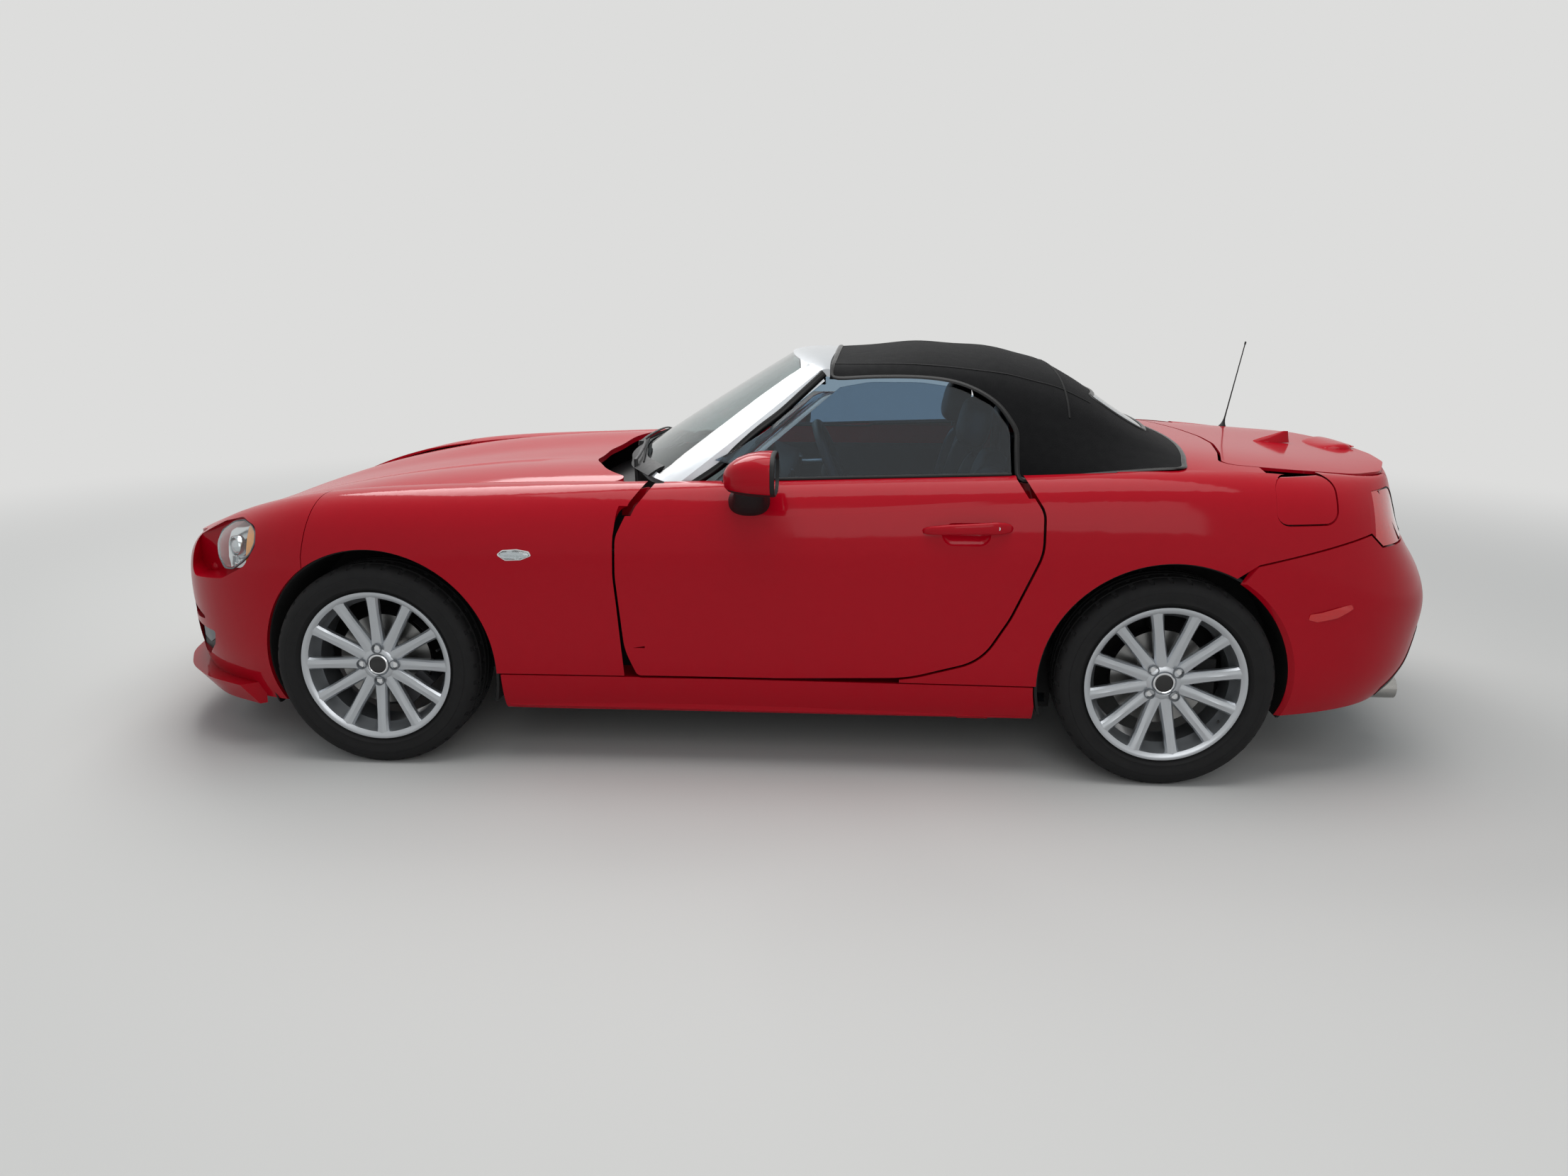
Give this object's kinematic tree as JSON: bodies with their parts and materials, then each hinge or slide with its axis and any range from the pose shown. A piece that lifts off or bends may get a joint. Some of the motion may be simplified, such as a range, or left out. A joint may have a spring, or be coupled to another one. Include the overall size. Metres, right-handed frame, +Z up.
{
  "type": "convertible sports car",
  "caption": "Low two-seat open sports car with a latched canvas roof, long nose, hinged doors, hood and trunk lid, and road wheels that steer and spin.",
  "frame": {"origin": "on the ground, at the centre of the car's length and width", "axes": "+Z up, +X towards the tail so the nose points to -X, +Y towards the car's right side"},
  "size_m": [4.0533, 2.0422, 1.2332],
  "materials": {
    "body_paint": "bright solid red clear-coated paint",
    "silver_frame": "silver-grey metallic paint",
    "window_glass": "clear, lightly tinted",
    "canvas": "black woven soft-top canvas",
    "black_plastic": "fine-grained black",
    "lamp_clear": "clear lens over a bright bowl",
    "lamp_red": "red translucent lens",
    "seat_fabric": "dark leather, soft satin",
    "underbody_black": "black underseal",
    "engine_iron": "cast block",
    "caliper_iron": "raw castings",
    "disc_steel": "turned disc face",
    "wheel_alloy": "silver lacquered alloy",
    "exhaust_steel": "dull stainless tube",
    "tyre_rubber": "dark road tyre"
  },
  "bodies": {
    "body": {"underbody": "underbody_black", "engine_block": "engine_iron", "sills": "body_paint", "front_wings": "body_paint", "rear_quarters": "body_paint", "rear_deck": "body_paint", "front_bumper": "body_paint", "grille": "black_plastic", "headlamps": "lamp_clear", "rear_bumper": "body_paint", "tail_lamps": "lamp_red", "cowl": "black_plastic", "windshield_frame": "silver_frame", "windshield": "window_glass", "soft_top": "canvas", "rear_window": "window_glass", "dashboard": "black_plastic", "seats": "seat_fabric", "front_suspension": "underbody_black", "rear_suspension": "underbody_black", "front_structure": "underbody_black", "firewall": "underbody_black", "rear_structure": "underbody_black", "exhaust": "exhaust_steel"},
    "hood": {"hood": "body_paint"},
    "trunk_lid": {"trunk_lid": "body_paint"},
    "fuel_door": {"fuel_door": "body_paint"},
    "door_left": {"door_left": "body_paint", "door_glass_left": "window_glass", "mirror_left": "body_paint"},
    "knuckle_left": {"knuckle_left": "caliper_iron"},
    "door_right": {"door_right": "body_paint", "door_glass_right": "window_glass", "mirror_right": "body_paint"},
    "knuckle_right": {"knuckle_right": "caliper_iron"},
    "wheel_front_left": {"tyre_front_left": "tyre_rubber", "wheel_front_left": "wheel_alloy", "brake_disc_front_left": "disc_steel"},
    "wheel_front_right": {"tyre_front_right": "tyre_rubber", "wheel_front_right": "wheel_alloy", "brake_disc_front_right": "disc_steel"},
    "wheel_rear_left": {"tyre_rear_left": "tyre_rubber", "wheel_rear_left": "wheel_alloy", "brake_disc_rear_left": "disc_steel"},
    "wheel_rear_right": {"tyre_rear_right": "tyre_rubber", "wheel_rear_right": "wheel_alloy", "brake_disc_rear_right": "disc_steel"},
    "steering_wheel": {"steering_wheel": "black_plastic"}
  },
  "joints": [
    {"name": "steer_left", "type": "hinge", "parent": "body", "child": "knuckle_left", "pos_m": [-1.155, -0.7005, 0.308], "axis": [0, 0, 1], "range_deg": [-33, 33]},
    {"name": "steer_right", "type": "hinge", "parent": "body", "child": "knuckle_right", "pos_m": [-1.155, 0.7005, 0.308], "axis": [0, 0, 1], "range_deg": [-33, 33]},
    {"name": "wheel_front_left_spin", "type": "hinge", "parent": "knuckle_left", "child": "wheel_front_left", "pos_m": [-1.155, -0.7475, 0.308], "axis": [0, 1, 0], "continuous": true},
    {"name": "wheel_front_right_spin", "type": "hinge", "parent": "knuckle_right", "child": "wheel_front_right", "pos_m": [-1.155, 0.7475, 0.308], "axis": [0, 1, 0], "continuous": true},
    {"name": "wheel_rear_left_spin", "type": "hinge", "parent": "body", "child": "wheel_rear_left", "pos_m": [1.155, -0.7525, 0.308], "axis": [0, 1, 0], "continuous": true},
    {"name": "wheel_rear_right_spin", "type": "hinge", "parent": "body", "child": "wheel_rear_right", "pos_m": [1.155, 0.7525, 0.308], "axis": [0, 1, 0], "continuous": true},
    {"name": "steering_wheel_turn", "type": "hinge", "parent": "body", "child": "steering_wheel", "pos_m": [0.205, -0.37, 0.828], "axis": [0.9207, 0, 0.3903], "range_deg": [-450, 450]},
    {"name": "door_left_swing", "type": "hinge", "parent": "body", "child": "door_left", "pos_m": [-0.385, -0.83, 0.525], "axis": [0, 0, -1], "range_deg": [0, 65]},
    {"name": "door_right_swing", "type": "hinge", "parent": "body", "child": "door_right", "pos_m": [-0.385, 0.83, 0.525], "axis": [0, 0, 1], "range_deg": [0, 65]},
    {"name": "hood_lift", "type": "hinge", "parent": "body", "child": "hood", "pos_m": [-0.442, 0, 0.805], "axis": [0, 1, 0], "range_deg": [0, 50]},
    {"name": "trunk_lid_lift", "type": "hinge", "parent": "body", "child": "trunk_lid", "pos_m": [1.262, 0, 0.882], "axis": [0, -1, 0], "range_deg": [0, 72]},
    {"name": "fuel_door_swing", "type": "hinge", "parent": "body", "child": "fuel_door", "pos_m": [1.4152, -0.8377, 0.8127], "axis": [-0.03, -0.516, -0.856], "range_deg": [0, 90]}
  ],
  "couplings": [
    {"joint": "steer_right", "follows": "steer_left", "ratio": 1},
    {"joint": "steering_wheel_turn", "follows": "steer_left", "ratio": 13.6}
  ]
}
